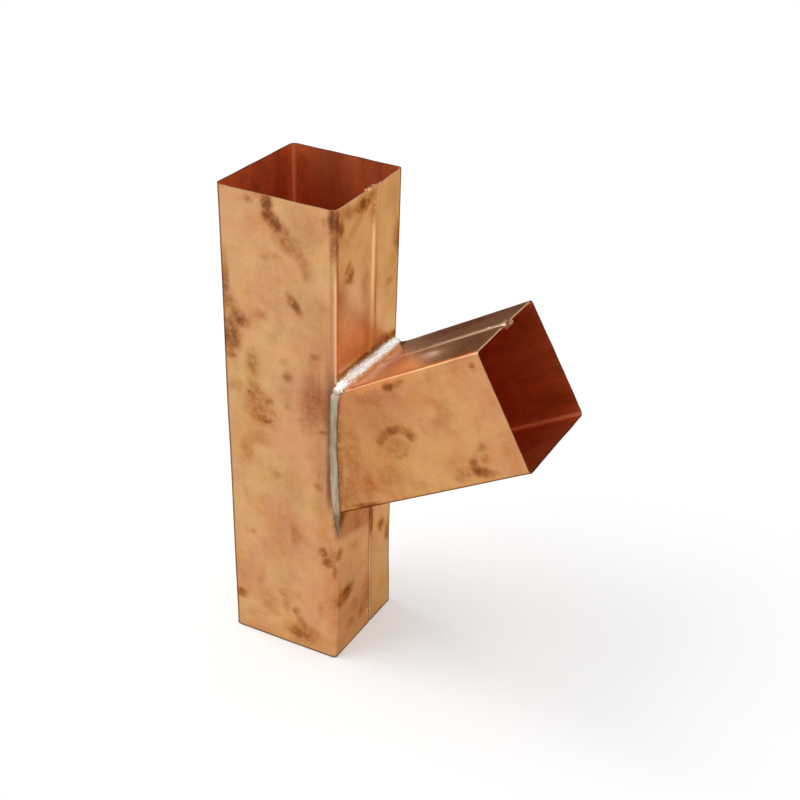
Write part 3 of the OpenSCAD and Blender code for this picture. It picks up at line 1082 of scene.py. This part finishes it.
def branch_pipe():
    faces = sorted(spread(-27.0, 27.0, 3.0) + [-27.55, 27.55])
    steps = (-5.5, -4.0, -2.5, -1.5, -0.6, 0.2, 1.2, 2.2, 3.4, 4.6, 5.8, 7.2, 7.6)
    seam = [BRANCH_GROOVE + step for step in steps]
    lengths = spread(-15.0, 85.0, 2.5) + spread(86.5, 97.0, 1.5) + [98.0, 98.7, 99.3, 99.7]
    shape = sliced(
        "branch_pipe",
        [
            (JOINT, ALONG, lengths),
            (JOINT, ACROSS, faces),
            (JOINT, SIDEWAYS, sorted(set(faces) | set(seam))),
        ],
    )
    for face in shape.faces:
        u, y, v = to_branch(face.calc_center_median())
        outside = on_outside(y, v, BRANCH_BEND)
        in_groove = abs(y - BRANCH_GROOVE) < GROOVE_HALF and v > HALF - GROOVE_HALF
        rim = abs(face.normal.dot(ALONG)) > 0.9 and u > BRANCH_LEN - 0.1
        face.material_index = EDGE if rim else OUTER if outside or in_groove else INNER
    bent(shape, hand_folded, branch_end)
    finishes = [branch_outside(), branch_inside(), branch_edge()]
    made = piece("branch_pipe_sheet", shape, "branch_pipe", finishes)
    smooth_but_creased(made.data, 32)


# Where the solder lies. Across the top: how far along the joint, and how wide the bead is on the
# main pipe and on the branch. Down each side: middle (x, out from the face, z), half width, height.
TOP_RUN = [
    (-29.8, 3.2, 4.2),
    (-28.0, 4.7, 5.5),
    (-25.5, 6.0, 6.4),
    (-20.0, 6.8, 6.9),
    (-10.0, 6.5, 6.6),
    (0.0, 6.1, 6.2),
    (10.0, 5.7, 5.8),
    (18.0, 5.3, 5.5),
    (23.0, 4.8, 5.0),
    (25.5, 3.8, 4.0),
    (27.5, 2.6, 2.6),
    (29.4, 1.6, 1.6),
]
SIDE_RUN = [
    (30.5, -0.4, 159.5, 2.0, 1.0),
    (29.9, 0.0, 157.0, 2.3, 0.95),
    (29.4, 0.1, 153.0, 2.3, 0.85),
    (29.1, 0.1, 140.0, 2.3, 0.8),
    (28.9, 0.1, 127.0, 2.4, 0.8),
    (29.6, 0.1, 112.0, 2.7, 0.85),
    (30.3, 0.1, 98.5, 2.6, 0.85),
    (30.7, -0.1, 92.0, 2.2, 0.8),
    (30.5, -0.9, 87.5, 1.8, 0.7),
    (30.2, -1.8, 83.0, 1.3, 0.6),
    (30.0, -2.5, 78.5, 0.8, 0.45),
    (29.9, -2.9, 75.5, 0.4, 0.3),
]


def between(rows, place, at):
    """The row of a table at a place on its way, worked out between the two nearest rows."""
    for first, second in zip(rows, rows[1:]):
        if min(first[at], second[at]) <= place <= max(first[at], second[at]):
            share = (place - first[at]) / (second[at] - first[at])
            return [a + share * (b - a) for a, b in zip(first, second)]
    return list(rows[0] if abs(place - rows[0][at]) < abs(place - rows[-1][at]) else rows[-1])


def drop(shape, middle, radii):
    """Adds one frozen drop of solder."""
    place = Matrix.Translation(middle) @ Matrix.Diagonal((*radii, 1.0))
    bmesh.ops.create_icosphere(shape, subdivisions=2, radius=1.0, matrix=place)


def drops_of_solder():
    shape = bmesh.new()
    for place in spread(TOP_RUN[0][0], TOP_RUN[-1][0], 1.45):
        _, up, out = between(TOP_RUN, place, 0)
        here = Vector((HALF, place, FOOT_TOP))
        leg = 0.5 * (up + out) * (1 + 0.06 * drift(here, 1.9, 41))
        middle = here + 0.45 * leg * Vector((0.5, 0.0, cos(RISE)))
        middle += 0.3 * (up - out) * Vector((-0.5, 0.0, 0.5))
        middle += 0.3 * Vector((drift(here, 1.7, 42), 0.0, drift(here, 1.7, 43)))
        drop(shape, middle, (0.65 * leg, 0.5 * leg, 0.65 * leg))
    for side in (-1, 1):
        for place in spread(SIDE_RUN[-1][2], SIDE_RUN[0][2], 0.8):
            x, out, z, half_wide, high = between(SIDE_RUN, place, 2)
            here = Vector((x, side * (HALF + out), z))
            here.x += 0.3 * drift(here, 6.0, 44)
            swell = 1 + 0.12 * drift(here, 4.0, 45)
            drop(shape, here, (half_wide * swell, high * swell, max(1.2, 0.9 * half_wide)))
        for place in spread(0.0, HALF - 1, 1.2):
            drop(shape, Vector((HALF, side * place, FOOT_BOTTOM)), (0.8, 1.4, 0.8))
    return shape


def kept_outside(p):
    """Solder can't get into the pipes, so what would be inside ends within the sheet."""
    edge = HALF - SHEET / 2
    if abs(p.x) < edge and abs(p.y) < edge:
        if edge - p.x < edge - abs(p.y):
            p = Vector((edge, p.y, p.z))
        else:
            p = Vector((p.x, edge if p.y > 0 else -edge, p.z))
    _, y, v = to_branch(p)
    if abs(y) < edge and abs(v) < edge and p.x > edge:
        if edge - abs(v) < edge - abs(y):
            p = p + (edge - abs(v)) * (ACROSS if v > 0 else -ACROSS)
        else:
            p = Vector((p.x, edge if y > 0 else -edge, p.z))
    return p


def solder_relief(p):
    """How far the solder's skin stands out at p: scales and lumps on top, long runs on the sides."""
    top = ease(p.z, FOOT_TOP - 6, FOOT_TOP - 2)
    lump = 0.25 * drift(p, 5.0, 31) + 0.15 * drift(p, 2.6, 32)
    scales = 0.3 * abs(drift(p, 1.5, 33)) + 0.12 * drift(p, 0.7, 34)
    runs = Vector((p.x, p.y, p.z / 12))
    flow = 0.16 * drift(runs, 1.3, 35) + 0.09 * drift(p, 7.0, 36)
    return top * (lump + scales - 0.05) + (1 - top) * flow


def fused(shape, voxel):
    """One closed skin over overlapping drops, in mm."""
    mesh = bpy.data.meshes.new("drops")
    shape.to_mesh(mesh)
    shape.free()
    drops = bpy.data.objects.new("drops", mesh)
    bpy.context.scene.collection.objects.link(drops)
    mesher = drops.modifiers.new("fused", "REMESH")
    mesher.mode = "VOXEL"
    mesher.voxel_size = voxel
    graph = bpy.context.evaluated_depsgraph_get()
    skin = bmesh.new()
    skin.from_mesh(drops.evaluated_get(graph).data)
    bpy.data.objects.remove(drops)
    bpy.data.meshes.remove(mesh)
    return skin


def solder_bead():
    shape = fused(drops_of_solder(), 0.3)
    for _ in range(2):
        bmesh.ops.smooth_vert(
            shape, verts=shape.verts, factor=0.5, use_axis_x=True, use_axis_y=True, use_axis_z=True
        )
    shape.normal_update()
    moves = [vertex.normal * solder_relief(vertex.co) for vertex in shape.verts]
    for vertex, move in zip(shape.verts, moves):
        vertex.co = kept_outside(vertex.co + move)
    bent(shape, hand_folded)
    made = piece("solder_run", shape, "solder_bead", [solder_finish()])
    made.data.shade_smooth()


# The studio round the object is in metres. The floor's glow and the sky's level for the camera
# and for what it sees off metal make them white, while less of either falls on the object.
FLOOR_WIDTH = 12.0
FLOOR_DROP = 0.0003
FLOOR_GLOW = 0.34
SKY_LEVEL = 0.5
CARD_MIDDLE = Vector((-0.52, 0.80, 0.25))
CARD_WIDTH = 1.0
CARD_HEIGHT = 0.5


def flat_sheet(name, width, height):
    """A flat sheet of the studio, about its own middle."""
    mesh = bpy.data.meshes.new(name)
    w, h = width / 2, height / 2
    mesh.from_pydata([(-w, -h, 0), (w, -h, 0), (w, h, 0), (-w, h, 0)], [], [(0, 1, 2, 3)])
    made = bpy.data.objects.new(name, mesh)
    bpy.context.scene.collection.objects.link(made)
    return made


def studio_floor():
    floor = flat_sheet("floor", FLOOR_WIDTH, FLOOR_WIDTH)
    floor.location.z = -FLOOR_DROP
    paper = Finish("pale_paper")
    paper.surface.inputs["Base Color"].default_value = rgb(0.8, 0.8, 0.8)
    paper.surface.inputs["Roughness"].default_value = 0.9
    paper.surface.inputs["Specular IOR Level"].default_value = 0.0
    paper.surface.inputs["Emission Strength"].default_value = 1.0
    glow = paper.grey(FLOOR_GLOW * paper.seen())
    paper.tree.links.new(glow, paper.surface.inputs["Emission Color"])
    floor.data.materials.append(paper.material)


def dark_card():
    """A dark card that stands outside the picture and shows only in the metal."""
    card = flat_sheet("dark_card", CARD_WIDTH, CARD_HEIGHT)
    towards = Vector((0.0, 0.0, CARD_MIDDLE.z)) - CARD_MIDDLE
    turn = towards.to_track_quat("Z", "Y").to_matrix().to_4x4()
    card.matrix_world = Matrix.Translation(CARD_MIDDLE) @ turn
    felt = Finish("dark_felt")
    felt.surface.inputs["Base Color"].default_value = rgb(0.035, 0.031, 0.028)
    felt.surface.inputs["Roughness"].default_value = 1.0
    card.data.materials.append(felt.material)
    for ray in ("camera", "diffuse", "transmission", "volume_scatter", "shadow"):
        setattr(card, "visible_" + ray, False)


def studio_light():
    world = bpy.data.worlds.new("studio")
    bpy.context.scene.world = world
    world.use_nodes = True
    air = Graph(world.node_tree)
    level = air.grey(SKY_LEVEL + (1 - SKY_LEVEL) * air.seen())
    backdrop = air.node("Background", inputs={"Color": level, "Strength": 1.0})
    air.node("OutputWorld", inputs={0: backdrop.outputs[0]})

    lamp = bpy.data.lights.new("softbox", "SUN")
    lamp.energy = 1.7
    lamp.angle = radians(60)
    key = bpy.data.objects.new("softbox", lamp)
    key.rotation_euler = Vector((-0.69, -0.3, 0.75)).to_track_quat("Z", "Y").to_euler()
    bpy.context.scene.collection.objects.link(key)


def camera():
    stands_at = Vector((0.330937, -0.516951, 0.48699))
    turn, tip, lean = radians(28.572), radians(30.033), radians(1.566)
    back = Vector((sin(turn) * cos(tip), -cos(turn) * cos(tip), sin(tip)))
    right = Vector((cos(turn), sin(turn), 0.0))
    up = back.cross(right)
    leaned_right = cos(lean) * right + sin(lean) * up
    leaned_up = -sin(lean) * right + cos(lean) * up
    lens = bpy.data.cameras.new("camera")
    lens.lens = 64.149
    lens.sensor_width = 36.0
    lens.clip_start = 0.01
    made = bpy.data.objects.new("camera", lens)
    axes = Matrix((leaned_right, leaned_up, back)).transposed().to_4x4()
    made.matrix_world = Matrix.Translation(stands_at) @ axes
    bpy.context.scene.collection.objects.link(made)
    bpy.context.scene.camera = made


main_pipe()
branch_pipe()
solder_bead()
studio_floor()
dark_card()
studio_light()
camera()
bpy.context.scene.view_settings.view_transform = "Standard"
